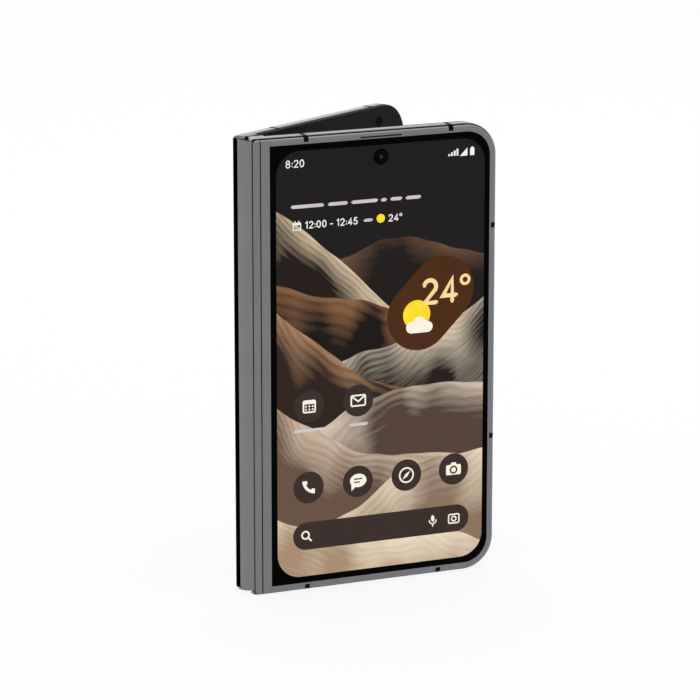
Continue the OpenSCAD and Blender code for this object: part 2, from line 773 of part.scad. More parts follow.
// Arms that carry a half on its two shafts
tail_u = web_u + 3 * seam_gap;
tail_h = arm_h + 2;
screw_r = 0.5;
screw_head_r = 0.9;
screw_head_t = 0.4;
screw_inset = 1.4;
tail_top_v = axis_in - closed_gap / 2 + arm_t / 2;
module arm_screws() {
    for (end = [0, 1], u = [tail_u + screw_inset, axis_in + arm_len - screw_inset])
        translate([0, end * height, 0]) mirror([0, end, 0])
            translate([u, arm_z + arm_h / 2, 0]) children();
}
module swing_arms(side) {
    difference() {
        union() {
            in_half(side) both_ends() translate([0, 0, arm_z]) {
                translate([axis_in, -axis_in, 0]) cylinder(r = 2 * shaft_r, h = arm_h);
                translate([axis_in, -axis_in - arm_t / 2, 0]) cube([arm_len, arm_t, arm_h]);
            }
            flat(side) for (end = [0, 1])
                translate([0, end * height, 0]) mirror([0, end, 0])
                    translate([tail_u, arm_z + arm_h / 2 - tail_h / 2, mid_top_v])
                        cube([axis_in + arm_len - tail_u, tail_h, tail_top_v - mid_top_v]);
        }
        in_half(side) translate([axis_in, -axis_in, -1]) cylinder(r = shaft_r, h = height + 2);
        flat(side) arm_screws() cylinder(r = screw_r + inner_gap / 2, h = half_t);
    }
}
module front_swing_arms() color("gray") swing_arms(front);
module rear_swing_arms() color("gray") swing_arms(rear);

module screws(side) {
    flat(side) arm_screws() {
        translate([0, 0, mid_v]) cylinder(r = screw_r, h = tail_top_v - mid_v);
        translate([0, 0, tail_top_v]) cylinder(r = screw_head_r, h = screw_head_t);
    }
}
module front_screws() color("silver") screws(front);
module rear_screws() color("silver") screws(rear);

// ---------- inside the halves ----------

part_v = mid_top_v;                          // inner parts stand on the middle plate
battery_u = axis_in + arm_len + 1;
part_r = 2;                                  // corners of batteries and boards
module battery(side) {
    flat(side) translate([0, 0, part_v]) linear_extrude(battery_t)
        plate_2d(battery_u, battery_z, battery_end_u, battery_z + battery_h, part_r, part_r);
}
module front_battery() color("#303030") battery(front);
module rear_battery() color("#303030") battery(rear);

module front_camera() color("black") flat(front)
    translate([front_camera_u, height - front_camera_drop, part_v]) {
        cylinder(r = housing_r, h = screen_v - inner_gap - part_v);
        cylinder(r = punch_r - 2 * inner_gap, h = glass_v - inner_gap - part_v);
    }

module earpiece_grille() color("#101010") flat(front)
    earpiece_place()
        linear_extrude(earpiece_depth - earpiece_sink) slot_2d(earpiece_w, earpiece_h);

receiver_z = height - rail_w - inner_gap;
receiver_size = [12, 7, 2.6];
module receiver() color("#222222") flat(front)
    translate([front_camera_u + housing_r + 1, receiver_z - receiver_size[1], part_v])
        cube(receiver_size);

board_z = battery_z + battery_h + 2;
front_board_top = receiver_z - receiver_size[1] - 1;
can_t = 1.5;                                 // height of the shield cans on the boards
can_gap = 4;
can_w = (battery_end_u - battery_u - 3 * can_gap) / 2;
// Two shield cans side by side, from the battery up to a height
module shield_cans(top) {
    for (u = [battery_u + can_gap, battery_u + 2 * can_gap + can_w])
        translate([u, board_z + can_gap, board_top_v])
            cube([can_w, top - board_z - 2 * can_gap, can_t]);
}
module front_board() color("darkgreen") flat(front) {
    difference() {
        translate([0, 0, part_v]) linear_extrude(board_t)
            plate_2d(battery_u, board_z, battery_end_u, front_board_top, part_r, part_r);
        translate([front_camera_u, height - front_camera_drop, 0])
            cylinder(r = housing_r + inner_gap, h = half_t);
    }
    shield_cans(front_board_top);
}

sim_plate_t = 1.2;
sim_plate_w = sim_w - 2.4;
sim_head = 1.6;
sim_sink = 0.05;                             // tray's face above the bottom edge
card = [9, 12.4, 0.7];                       // recess for the card
pin_hole_r = 0.4;
reader_gap = 0.15;
reader_wall = 0.5;
module sim_tray() color("dimgray") flat(front) {
    translate([sim_u, sim_sink + sim_head, centre_v]) rotate([90, 0, 0])
        linear_extrude(sim_head) difference() {
            slot_2d(sim_w, sim_t);
            translate([sim_w / 2 - sim_t / 2, 0]) circle(pin_hole_r);
        }
    translate([sim_u - sim_plate_w / 2, sim_sink + sim_head, centre_v - sim_plate_t / 2])
        difference() {
            cube([sim_plate_w, sim_len - sim_head, sim_plate_t]);
            translate([(sim_plate_w - card[0]) / 2, sim_len - sim_head - card[1] - 1,
                       sim_plate_t - card[2]])
                cube([card[0], card[1], sim_plate_t]);
        }
}
module sim_reader() color("silver") flat(front)
    translate([sim_u, rail_w + inner_gap, 0])
        difference() {
            w = sim_plate_w + 2 * reader_gap + 2 * reader_wall;
            translate([-w / 2, 0, part_v]) cube([w, sim_len - rail_w + 1, screen_v - inner_gap - part_v]);
            translate([reader_wall - w / 2, -1, centre_v - sim_plate_t / 2 - reader_gap])
                cube([w - 2 * reader_wall, sim_len - rail_w + 1.5, sim_plate_t + 2 * reader_gap]);
        }

coil_r = 24;
coil_hole_r = 12;
coil_t = 0.35;
module charging_coil() color("peru") flat(rear)
    translate([(battery_u + battery_end_u) / 2, battery_z + battery_h / 2, part_v + battery_t])
        linear_extrude(coil_t) difference() {
            circle(coil_r);
            circle(coil_hole_r);
        }

bar_centre = [bar_mid_u, height - bar_drop];
camera_gap = 3;
bar_flange = 1.5;                            // flange behind the back glass
bar_flange_t = 0.4;
window_t = 0.6;
window_ledge = 0.5;                          // ledge that the window lies on
bar_round = 0.7;                             // rounding of the bar's outer edge
module slot_in(inset) slot_2d(bar_w - 2 * inset, bar_h - 2 * inset);
module camera_bar() color("dimgray") flat(rear)
    translate([bar_centre[0], bar_centre[1], 0])
        difference() {
            union() {
                translate([0, 0, glass_v - bar_flange_t]) {
                    linear_extrude(bar_flange_t) slot_in(-bar_flange);
                    linear_extrude(bar_top_v - bar_round - glass_v + bar_flange_t) slot_in(0);
                }
                translate([0, 0, bar_top_v - bar_round]) linear_extrude(bar_round) slot_in(bar_round);
                bar_edge();
            }
            linear_extrude(2 * bar_top_v) slot_in(bar_wall + window_ledge);
            translate([0, 0, bar_top_v - window_t]) linear_extrude(bar_top_v) slot_in(bar_wall);
        }
// Quarter-round edge of the camera bar
module bar_edge() {
    end_r = bar_h / 2;
    straight = bar_w - bar_h;
    translate([0, 0, bar_top_v - bar_round])
        for (turn = [0, 180]) rotate([0, 0, turn]) {
            translate([straight / 2, 0, 0]) rotate([0, 0, -90])
                rotate_extrude(angle = 180) bar_edge_2d(end_r);
            translate([-straight / 2, 0, 0]) rotate([90, 0, 90])
                linear_extrude(straight) bar_edge_2d(end_r);
        }
}
module bar_edge_2d(r) {
    intersection() {
        translate([r - bar_round, 0]) circle(bar_round);
        translate([r - bar_round - joint_lap, 0]) square([bar_round + joint_lap, bar_round]);
    }
}
module camera_window() color("black", 0.6) flat(rear)
    translate([bar_centre[0], bar_centre[1], bar_top_v - window_t])
        linear_extrude(window_t) slot_in(bar_wall + glass_gap);

board_top_v = part_v + board_t;
camera_top_v = bar_top_v - window_t - inner_gap;
dish_depth = 0.8;
// Round camera on the main board: housing, barrel and the dish over its front lens
module round_camera(u, r) {
    flat(rear) translate([u, bar_centre[1], board_top_v])
        difference() {
            union() {
                translate([-r, -r, 0]) cube([2 * r, 2 * r, can_t]);
                cylinder(r = r, h = camera_top_v - board_top_v);
            }
            translate([0, 0, camera_top_v - board_top_v - dish_depth])
                cylinder(r1 = 0.45 * r, r2 = 0.85 * r, h = dish_depth + 0.01);
        }
}
main_camera_u = bar_centre[0] - main_camera_r - 2 * camera_gap;
wide_camera_u = main_camera_u - main_camera_r - wide_camera_r - camera_gap;
long_camera_u = main_camera_u + main_camera_r + long_camera_r + camera_gap;
flash_u = long_camera_u + long_camera_r + 2 * camera_gap;
module main_camera() color("black") round_camera(main_camera_u, main_camera_r);
module wide_camera() color("black") round_camera(wide_camera_u, wide_camera_r);
module long_camera() color("black") round_camera(long_camera_u, long_camera_r);
flash_r = 2;
module flash() color("ivory") flat(rear)
    translate([flash_u, bar_centre[1], board_top_v])
        cylinder(r = flash_r, h = camera_top_v - board_top_v);

module main_board() color("darkgreen") flat(rear)
    difference() {
        union() {
            translate([0, 0, part_v]) linear_extrude(board_t)
                plate_2d(battery_u, board_z, battery_end_u, height - rail_w - 1, part_r, part_r);
            shield_cans(bar_centre[1] - main_camera_r);
        }
        inner_camera_place() cylinder(r = inner_camera_r + inner_gap, h = half_t);
    }

module inner_camera() color("black") flat(rear)
    inner_camera_place() translate([0, 0, 2 * inner_gap])
        cylinder(r = inner_camera_r, h = board_top_v - inner_gap);

usb_z = 0.3;                                 // receptacle's mouth above the bottom edge
usb_back = 1;
tongue = [6.7, 0.7];
tongue_sink = 0.7;
module usb_receptacle() color("silver") flat(rear)
    translate([usb_u, usb_z, centre_v]) mirror([0, 1, 0]) rotate([90, 0, 0]) {
        difference() {
            linear_extrude(usb_depth) slot_2d(usb_w + 2 * usb_wall, usb_h + 2 * usb_wall);
            translate([0, 0, -usb_back]) linear_extrude(usb_depth) slot_2d(usb_w, usb_h);
        }
        translate([0, 0, tongue_sink]) linear_extrude(usb_depth - tongue_sink)
            square(tongue, center = true);
    }

module loudspeaker() color("#222222") flat(rear)
    translate([speaker_box_u, rail_w + inner_gap, part_v])
        cube([speaker_box_end - speaker_box_u, speaker_box_h, speaker_box_t]);

motor_size = [12, 6, 3];
module vibration_motor() color("silver") flat(rear)
    translate([battery_u + 1, rail_w + 2, part_v]) cube(motor_size);

// ---------- buttons ----------

button_root = rail_w - 0.8;                  // reach of a button behind the rail's face
switch = [1, 3, 1.6];                        // one switch of the side keys
module side_button(z, l) {
    flat(rear) translate([half_w - button_root, z, centre_v]) rotate([90, 0, 90])
        linear_extrude(button_root + button_proud) slot_2d(l, button_t);
}
module power_button() color("dimgray") side_button(power_z, power_l);
fulcrum_r = 0.3;                             // round rib that the rocker tilts on
module volume_rocker() color("dimgray") {
    side_button(volume_z, volume_l);
    flat(rear) translate([half_w - button_root, volume_z, centre_v - switch[2] / 2])
        cylinder(r = fulcrum_r, h = switch[2]);
}

ribbon_t = 0.2;
// Three switches, and between the rocker's two a rest for its rib
module side_switches() color("orange") flat(rear) {
    switch_u = half_w - button_root - button_travel - inner_gap - switch[0];
    for (z = [power_z, volume_z - volume_l / 3, volume_z, volume_z + volume_l / 3])
        translate([switch_u, z - switch[1] / 2, centre_v - switch[2] / 2]) cube(switch);
    translate([switch_u - ribbon_t, volume_z - volume_l / 2, centre_v - switch[2] / 2])
        cube([ribbon_t, power_z - volume_z + (power_l + volume_l) / 2, switch[2]]);
}

front_frame();
front_hinge_rail();
cover_glass();
cover_screen();
front_antenna_breaks();
earpiece_grille();
receiver();
front_camera();
front_battery();
front_board();
sim_reader();
sim_tray();
front_bezel();
front_panel();
front_support_plate();
front_swing_arms();
front_hinge_shafts();
front_screws();
rear_frame();
rear_hinge_rail();
back_glass();
camera_bar();
camera_window();
main_camera();
wide_camera();
long_camera();
flash();
rear_antenna_breaks();
rear_battery();
charging_coil();
main_board();
usb_receptacle();
loudspeaker();
vibration_motor();
power_button();
volume_rocker();
side_switches();
rear_bezel();
rear_panel();
rear_support_plate();
inner_camera();
rear_swing_arms();
rear_hinge_shafts();
rear_screws();
spine_cover();
spine_caps();
spine_core();
lower_hinge_block();
upper_hinge_block();
torque_clips();
front_idler_gears();
rear_idler_gears();
fold_film();
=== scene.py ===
import json
import math

import bmesh
import bpy
from mathutils import Matrix, Vector


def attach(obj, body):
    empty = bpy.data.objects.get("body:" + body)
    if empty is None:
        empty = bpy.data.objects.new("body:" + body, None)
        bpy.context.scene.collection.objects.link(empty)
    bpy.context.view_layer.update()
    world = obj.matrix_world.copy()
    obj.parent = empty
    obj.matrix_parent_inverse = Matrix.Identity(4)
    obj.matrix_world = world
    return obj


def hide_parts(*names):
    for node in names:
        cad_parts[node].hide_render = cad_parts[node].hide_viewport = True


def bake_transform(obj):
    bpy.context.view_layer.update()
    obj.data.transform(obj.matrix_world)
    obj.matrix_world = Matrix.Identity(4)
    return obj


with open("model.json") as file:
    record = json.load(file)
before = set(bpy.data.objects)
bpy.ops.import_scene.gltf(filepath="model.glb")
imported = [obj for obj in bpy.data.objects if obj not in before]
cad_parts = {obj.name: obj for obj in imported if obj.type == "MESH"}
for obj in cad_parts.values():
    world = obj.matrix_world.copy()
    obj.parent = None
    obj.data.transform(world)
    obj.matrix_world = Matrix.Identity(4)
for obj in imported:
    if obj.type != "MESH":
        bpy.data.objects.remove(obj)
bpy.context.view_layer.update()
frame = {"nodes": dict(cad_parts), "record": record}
nodes = frame["nodes"]

MM = 0.001

# ---------- the phone's plan, in millimetres, as in the CAD source ----------

FRONT, REAR = -1, 1
AXIS_IN = 2.15
TILT = math.radians(15)
CLOSED_GAP = 0.5
SHIFT = (-38.1987, -0.199036)
HEIGHT = 139.7
HALF_T = 5.8
# painted shade: the metal is painted black as shade along the groove on the sides, over a band wider than
# the groove, and in the upright groove where the fold side's curve ends
LINE_SHADE_V, LINE_SHADE_W = 4.85, 0.75
# along the free edge the painted shade line stops short of the rim
FREE_EDGE_U, FREE_EDGE_V = 77.5, 4.9
# how far out from the inner face the metal is painted black, as painted shade in the groove beside the
# bezel
GROOVE_SHADE = 1.65
# the upright groove's u, its width, and the v past which the metal in it is painted black as shade
FACE_LINE, FACE_LINE_W, FACE_LINE_V = 2.40, 0.3, 5.5
FACE_LINE_END = FACE_LINE + FACE_LINE_W / 2
# how far the painted shade laps past the upright groove's edges
FACE_LINE_LAP = 0.02
GLASS_EDGE = 5.35
# band of the sides that is slightly crowned, the rounded lip by the upright groove, and how
# far the fold-side rail is black from the inner face
SIDE_BAND = (1.15, 4.3)
LIP = (2.0, 2.25)
LIP_SLOPE = 0.2
BLACK_BAND = 0.95
# height lost by a crown, in metres for each square millimetre off its middle
CROWN = 2.6e-5
SIDE_CROWN = {FRONT: 2e-6, REAR: 4.4e-5}
# least upward part of the normal of a rail's end face
FACES_UP = 0.7
# plan of the rim and its fall away from the glass
HALF_W, CORNER_R, RIM_W = 79.35, 10.0, 2.4
RIM_SLOPE = 0.07
# how far in from the outer edge the antenna breaks show
BREAK_DEPTH = 1.85


def half_point(side, u, z, v):
    """Row-frame point of a half: u from the fold edge, z up, v from the inner face."""
    du, dv = u - AXIS_IN, v + CLOSED_GAP / 2 - AXIS_IN
    x = AXIS_IN + du * math.cos(TILT) - dv * math.sin(TILT) + SHIFT[0]
    y = side * (AXIS_IN + du * math.sin(TILT) + dv * math.cos(TILT)) + SHIFT[1]
    return Vector((x, y, z)) * MM


def half_matrix(side):
    """Turns (u, z, v) in millimetres into the row frame."""
    origin = half_point(side, 0, 0, 0)
    columns = [half_point(side, *unit) - origin for unit in ((1, 0, 0), (0, 1, 0), (0, 0, 1))]
    return Matrix([[c[i] for c in columns] + [origin[i]] for i in range(3)] + [[0, 0, 0, 1]])


# ---------- node materials ----------

def linear(rgb):
    """8-bit colour as the linear values that nodes take."""
    out = []
    for c in rgb:
        c /= 255
        out.append(c / 12.92 if c <= 0.04045 else ((c + 0.055) / 1.055) ** 2.4)
    return (*out, 1.0)


class Net:
    """Short forms for building a node tree."""

    def __init__(self, tree):
        self.tree = tree
        tree.nodes.clear()

    def add(self, kind, **settings):
        n = self.tree.nodes.new(kind)
        for k, value in settings.items():
            setattr(n, k, value)
        return n

    def put(self, value, socket):
        if isinstance(value, bpy.types.NodeSocket):
            self.tree.links.new(value, socket)
        else:
            socket.default_value = value

    def math(self, op, a, b=0.0, c=0.0, clamp=False):
        n = self.add("ShaderNodeMath", operation=op, use_clamp=clamp)
        for i, value in enumerate((a, b, c)):
            self.put(value, n.inputs[i])
        return n.outputs[0]

    def mix(self, fac, a, b):
        n = self.add("ShaderNodeMix", data_type="RGBA")
        self.put(fac, n.inputs[0])
        self.put(a, n.inputs[6])
        self.put(b, n.inputs[7])
        return n.outputs[2]

    def place(self):
        return self.add("ShaderNodeTexCoord").outputs["Object"]

    def along(self, side, axis):
        """Millimetres along a half's u, z or v, measured on the surface."""
        start = half_point(side, 0, 0, 0)
        unit = {"u": (1, 0, 0), "z": (0, 1, 0), "v": (0, 0, 1)}[axis]
        direction = (half_point(side, *unit) - start) / MM
        n = self.add("ShaderNodeVectorMath", operation="DOT_PRODUCT")
        self.put(self.place(), n.inputs[0])
        n.inputs[1].default_value = direction / MM
        return self.math("SUBTRACT", n.outputs["Value"], start.dot(direction) / MM)

    def combine(self, x, y, z=0.0):
        n = self.add("ShaderNodeCombineXYZ")
        for i, value in enumerate((x, y, z)):
            self.put(value, n.inputs[i])
        return n.outputs[0]

    def stretch(self, vector, scale):
        n = self.add("ShaderNodeVectorMath", operation="MULTIPLY")
        self.put(vector, n.inputs[0])
        n.inputs[1].default_value = scale
        return n.outputs[0]

    def noise(self, vector, scale=1.0, detail=2.0, roughness=0.5, distortion=0.0):
        n = self.add("ShaderNodeTexNoise")
        self.put(vector, n.inputs["Vector"])
        n.inputs["Scale"].default_value = scale
        n.inputs["Detail"].default_value = detail
        n.inputs["Roughness"].default_value = roughness
        n.inputs["Distortion"].default_value = distortion
        return n.outputs["Fac"]

    def spread(self, value, low, high, to_low, to_high):
        n = self.add("ShaderNodeMapRange")
        for i, v in enumerate((value, low, high, to_low, to_high)):
            self.put(v, n.inputs[i])
        return n.outputs[0]

    def ramp(self, fac, stops):
        n = self.add("ShaderNodeValToRGB")
        e = n.color_ramp.elements
        while len(e) < len(stops):
            e.new(0.5)
        for item, (at, colour) in zip(e, stops):
            item.position = at
            item.color = linear(colour)
        self.put(fac, n.inputs[0])
        return n.outputs[0]

    def bump(self, height, strength, distance):
        n = self.add("ShaderNodeBump")
        n.inputs["Strength"].default_value = strength
        n.inputs["Distance"].default_value = distance
        self.put(height, n.inputs["Height"])
        return n.outputs[0]


def new_material(name):
    m = bpy.data.materials.new(name)
    m.use_nodes = True
    net = Net(m.node_tree)
    shader = net.add("ShaderNodeBsdfPrincipled")
    out = net.add("ShaderNodeOutputMaterial")
    m.node_tree.links.new(shader.outputs[0], out.inputs[0])
    return m, net, shader


def surface(name, dark, light, rough, metallic=0.0, spec=0.5, grain=(2500, 2500, 2500),
            bump=0.0, coat=0.0, alpha=1.0, half=None, rail=False):
    """A finish whose colour runs between two tones and whose gloss varies with a fine grain.

    grain is the grain's fineness per metre along each axis, so a long grain is a brushed one.
    half names the half whose outer metal it covers: rail for its fold-side rail, not its frame.
    """
    m, net, shader = new_material(name)
    grains = net.noise(net.stretch(net.place(), grain), 1.0, 3.0, 0.6)
    clouds = net.noise(net.place(), 60.0, 2.0, 0.5)
    tone = net.math("ADD", net.math("MULTIPLY", grains, 0.55), net.math("MULTIPLY", clouds, 0.45))
    colour = net.ramp(tone, [(0.25, dark), (0.75, light)])
    if half:
        # black on a half's metal: painted shade in and along its grooves, and the fold-side rail's black
        # band
        black, height = half_shape(net, half, rail)
        colour = net.mix(black, colour, BLACK)
        net.put(net.bump(height, 1.0, 1.0), shader.inputs["Normal"])
    net.put(colour, shader.inputs["Base Color"])
    net.put(net.spread(grains, 0.2, 0.8, rough[0], rough[1]), shader.inputs["Roughness"])
    shader.inputs["Metallic"].default_value = metallic
    shader.inputs["Specular IOR Level"].default_value = spec
    shader.inputs["Coat Weight"].default_value = coat
    shader.inputs["Coat Roughness"].default_value = 0.05
    shader.inputs["Alpha"].default_value = alpha
    if bump:
        net.put(net.bump(grains, 0.4, bump), shader.inputs["Normal"])
    return m


def clamped(net, value, low, high):
    return net.math("MINIMUM", net.math("MAXIMUM", value, low), high)


def crown(net, value, low, high, strength):
    """Height in metres of a slight crown that is nought at both edges of a band."""
    off = net.math("SUBTRACT", clamped(net, value, low, high), (low + high) / 2)
    top = strength * ((high - low) / 2) ** 2
    return net.math("MULTIPLY_ADD", net.math("MULTIPLY", off, off), -strength, top)


def from_edge(net, half):
    """Millimetres from the outer edge of a half's plan, measured inward."""
    past_u = net.math("SUBTRACT", net.along(half, "u"), HALF_W - CORNER_R)
    off = net.math("ABSOLUTE", net.math("SUBTRACT", net.along(half, "z"), HEIGHT / 2))
    past_z = net.math("SUBTRACT", off, HEIGHT / 2 - CORNER_R)
    a, b = net.math("MAXIMUM", past_u, 0.0), net.math("MAXIMUM", past_z, 0.0)
    out = net.math("SQRT", net.math("ADD", net.math("MULTIPLY", a, a), net.math("MULTIPLY", b, b)))
    out = net.math("ADD", out, net.math("MINIMUM", net.math("MAXIMUM", past_u, past_z), 0.0))
    return net.math("SUBTRACT", CORNER_R, out)


def half_shape(net, half, rail):
    """Where a half's outer metal is black (painted shade in and along its grooves, and a black band by
    the inner face of the fold-side rail), and the height of its crowned faces in metres.
    """
    u, v = net.along(half, "u"), net.along(half, "v")
    # painted shade along the groove on the sides, kept off the rim along the free edge
    black = net.math("COMPARE", v, LINE_SHADE_V, LINE_SHADE_W / 2)
    off_rim = net.math("MAXIMUM", net.math("LESS_THAN", u, FREE_EDGE_U),
                       net.math("LESS_THAN", v, FREE_EDGE_V))
    black = net.math("MULTIPLY", black, off_rim)
    height = crown(net, v, *SIDE_BAND, SIDE_CROWN[half])
    if rail:
        facing = net.add("ShaderNodeSeparateXYZ")
        net.put(net.add("ShaderNodeNewGeometry").outputs["True Normal"], facing.inputs[0])
        ends = net.math("GREATER_THAN", net.math("ABSOLUTE", facing.outputs[2]), FACES_UP)
        height = net.math("MULTIPLY", height, ends)
        height = net.math("ADD", height, crown(net, u, FACE_LINE_END, GLASS_EDGE, CROWN))
        lip = net.math("SUBTRACT", clamped(net, u, *LIP), LIP[0])
        height = net.math("MULTIPLY_ADD", lip, -LIP_SLOPE * MM, height)
        black = net.math("MAXIMUM", black, net.math("LESS_THAN", v, BLACK_BAND))
        # painted shade in the upright groove
        line = net.math("COMPARE", u, FACE_LINE, FACE_LINE_W / 2 + FACE_LINE_LAP)
        line = net.math("MULTIPLY", line, net.math("GREATER_THAN", v, FACE_LINE_V))
        black = net.math("MAXIMUM", black, line)
    else:
        # painted shade in the groove beside the bezel
        black = net.math("MAXIMUM", black, net.math("LESS_THAN", v, GROOVE_SHADE))
        rim = clamped(net, from_edge(net, half), 0.0, RIM_W)
        height = net.math("MULTIPLY_ADD", rim, RIM_SLOPE * MM, height)
    return black, height


FINE = (9000, 9000, 9000)
CLOSE = (3000, 3000, 3000)
UPRIGHT = (14000, 14000, 500)
METAL = ((114, 114, 117), (124, 124, 127))
METAL_ROUGH = (0.05, 0.08)
# black of the painted shade in the halves' grooves and of the fold-side rail's black band
BLACK = linear((2, 2, 3))
finish = {}


def add_finish(name, *tones, **details):
    finish[name] = surface(name, *tones, **details)


add_finish("frame_metal", *METAL, METAL_ROUGH, 1, grain=FINE, half=FRONT)
add_finish("rear_frame_metal", *METAL, METAL_ROUGH, 1, grain=FINE, half=REAR)
add_finish("rail_metal", *METAL, METAL_ROUGH, 1, grain=UPRIGHT, half=FRONT, rail=True)
add_finish("rear_rail_metal", *METAL, METAL_ROUGH, 1, grain=UPRIGHT, half=REAR, rail=True)
add_finish("spine_metal", *METAL, METAL_ROUGH, 1, grain=UPRIGHT)
add_finish("hinge_steel", (120, 120, 122), (160, 160, 162), (0.25, 0.4), 1, grain=FINE, bump=1e-6)
add_finish("gear_steel", (150, 142, 120), (190, 182, 160), (0.15, 0.3), 1, grain=FINE)
add_finish("cover_glass", (1, 1, 2), (3, 3, 4), (0.03, 0.06), spec=0.02)
add_finish("screen", (8, 8, 9), (14, 14, 16), (0.1, 0.2), spec=0.1)
add_finish("back_glass", (20, 20, 22), (28, 28, 30), (0.40, 0.48), spec=0.3, grain=FINE, bump=3e-7)
add_finish("antenna_plastic", (2, 2, 3), (6, 6, 7), (0.45, 0.6), spec=0.08, grain=FINE)
add_finish("bezel_plastic", (2, 2, 3), (4, 4, 5), (0.4, 0.5), spec=0.08, grain=FINE, bump=1e-6)
add_finish("folding_screen", (1, 1, 2), (3, 3, 4), (0.06, 0.10), spec=0.5)
add_finish("camera_metal", (106, 106, 109), (118, 118, 121), (0.26, 0.34), 1, grain=FINE, bump=4e-7)
add_finish("window_glass", (2, 2, 3), (5, 5, 7), (0.12, 0.14), spec=0.3, alpha=0.25)
add_finish("lens", (4, 4, 6), (12, 12, 15), (0.2, 0.35), spec=0.4, grain=FINE)
add_finish("inner_lens", (2, 2, 3), (5, 5, 7), (0.1, 0.2), spec=0.02, grain=FINE)
add_finish("flash_lens", (214, 200, 140), (250, 240, 196), (0.3, 0.5), grain=CLOSE, bump=5e-5)
add_finish("board", (6, 44, 30), (14, 66, 44), (0.35, 0.55), grain=CLOSE, bump=1e-5)
add_finish("battery_wrap", (22, 22, 24), (40, 40, 43), (0.3, 0.5), grain=CLOSE, bump=4e-6)
add_finish("copper", (150, 84, 46), (214, 132, 82), (0.25, 0.4), 1, grain=CLOSE, bump=1e-5)
add_finish("port_steel", (140, 140, 144), (190, 190, 194), (0.2, 0.35), 1, grain=FINE, bump=1e-6)
add_finish("black_part", (8, 8, 9), (16, 16, 17), (0.45, 0.65), spec=0.2, grain=FINE, bump=4e-6)
add_finish("mesh", (2, 2, 2), (16, 16, 17), (0.5, 0.7), spec=0.2, grain=(12000, 12000, 12000), bump=1e-5)
add_finish("button_metal", *METAL, (0.08, 0.12), 1, grain=FINE)
add_finish("flex", (120, 52, 14), (170, 84, 30), (0.3, 0.5), grain=CLOSE)
add_finish("support_steel", (110, 110, 113), (140, 140, 143), (0.25, 0.4), 1, grain=(500, 500, 14000))


PLASTIC_ROUGH, COAT_ROUGH = 0.5, 0.07


def break_material(name, half):
    """A break's plastic, which is coated like the rim where it crosses the rim's flat."""
    m, net, shader = new_material(name)
    rim = net.math("GREATER_THAN", from_edge(net, half), BREAK_DEPTH)
    grains = net.noise(net.stretch(net.place(), FINE), 1.0, 3.0, 0.6)
    plastic = net.ramp(grains, [(0.25, (2, 2, 3)), (0.75, (6, 6, 7))])
    coat = net.ramp(grains, [(0.25, METAL[0]), (0.75, METAL[1])])
    net.put(net.mix(rim, plastic, coat), shader.inputs["Base Color"])
    net.put(rim, shader.inputs["Metallic"])
    net.put(net.spread(rim, 0, 1, PLASTIC_ROUGH, COAT_ROUGH), shader.inputs["Roughness"])
    shader.inputs["Specular IOR Level"].default_value = 0.05
    return m


finish["front_break"] = break_material("front_break", FRONT)
finish["rear_break"] = break_material("rear_break", REAR)
# pieces whose finish differs from what their slot has
OWN_FINISH = {
    "camera_window": "window_glass",
    "inner_camera": "inner_lens",
    "rear_hinge_rail": "rear_rail_metal",
    "rear_frame": "rear_frame_metal",
    "front_antenna_breaks": "front_break",
    "rear_antenna_breaks": "rear_break",
}
for part in frame["record"]["subparts"]:
    node = part["node"]
    mesh = nodes[node].data
    mesh.materials.clear()
    mesh.materials.append(finish[OWN_FINISH.get(node, part["material_slot"])])


# ---------- flat shapes ----------

class Sheet:
    """Thin closed shapes drawn in (u, z) on a half's face and given a thickness."""

    def __init__(self):
        self.bm = bmesh.new()

    def loop(self, points, v):
        return [self.bm.verts.new((x, y, v)) for x, y in points]

    def slab(self, faces, low):
        """Thickens faces down to low."""
        v_top = faces[0].verts[0].co.z
        made = bmesh.ops.extrude_face_region(self.bm, geom=faces)
        moved = [g for g in made["geom"] if isinstance(g, bmesh.types.BMVert)]
        bmesh.ops.translate(self.bm, verts=moved, vec=(0, 0, low - v_top))

    def shape(self, points, low, high):
        self.slab([self.bm.faces.new(self.loop(points, high))], low)

    def pierced(self, outline, holes, low, high):
        """A shape with holes in it."""
        edges = []
        for points in (outline, *holes):
            ring = self.loop(points, high)
            edges += [self.bm.edges.new((a, b)) for a, b in zip(ring, ring[1:] + ring[:1])]
        filled = bmesh.ops.triangle_fill(self.bm, use_beauty=True, edges=edges)
        self.slab([g for g in filled["geom"] if isinstance(g, bmesh.types.BMFace)], low)

    def ribbon(self, path, width, low, high, closed=False, round_ends=True):
        """A line of even width along a path."""
        n = len(path)
        left, right = [], []
        for i, (x, y) in enumerate(path):
            before = path[(i - 1) % n] if closed or i else path[0]
            after = path[(i + 1) % n] if closed or i < n - 1 else path[-1]
            a = Vector((x - before[0], y - before[1]))
            b = Vector((after[0] - x, after[1] - y))
            a = a.normalized() if a.length else b.normalized()
            b = b.normalized() if b.length else a
            way = (a + b).normalized()
            side = Vector((-way.y, way.x)) * width / 2 / max(0.5, way.dot(a))
            left.append(self.bm.verts.new((x + side.x, y + side.y, high)))
            right.append(self.bm.verts.new((x - side.x, y - side.y, high)))
        faces = []
        for i in range(n if closed else n - 1):
            j = (i + 1) % n
            faces.append(self.bm.faces.new((left[i], right[i], right[j], left[j])))
        if not closed and round_ends:
            ends = ((path[0], path[1], left[0], right[0]),
                    (path[-1], path[-2], right[-1], left[-1]))
            for at, inner, v1, v2 in ends:
                back = math.atan2(at[1] - inner[1], at[0] - inner[0])
                cap = [(at[0] + width / 2 * math.cos(back + t), at[1] + width / 2 * math.sin(back + t))
                       for t in (math.pi / 4, 0, -math.pi / 4)]
                faces.append(self.bm.faces.new([v1, *self.loop(cap, high), v2]))
        self.slab(faces, low)

    def finish(self, name, material, slot="screen", side=FRONT, body="front_half"):
        bmesh.ops.transform(self.bm, matrix=half_matrix(side), verts=self.bm.verts)
        return piece_from(name, self.bm, body, material)


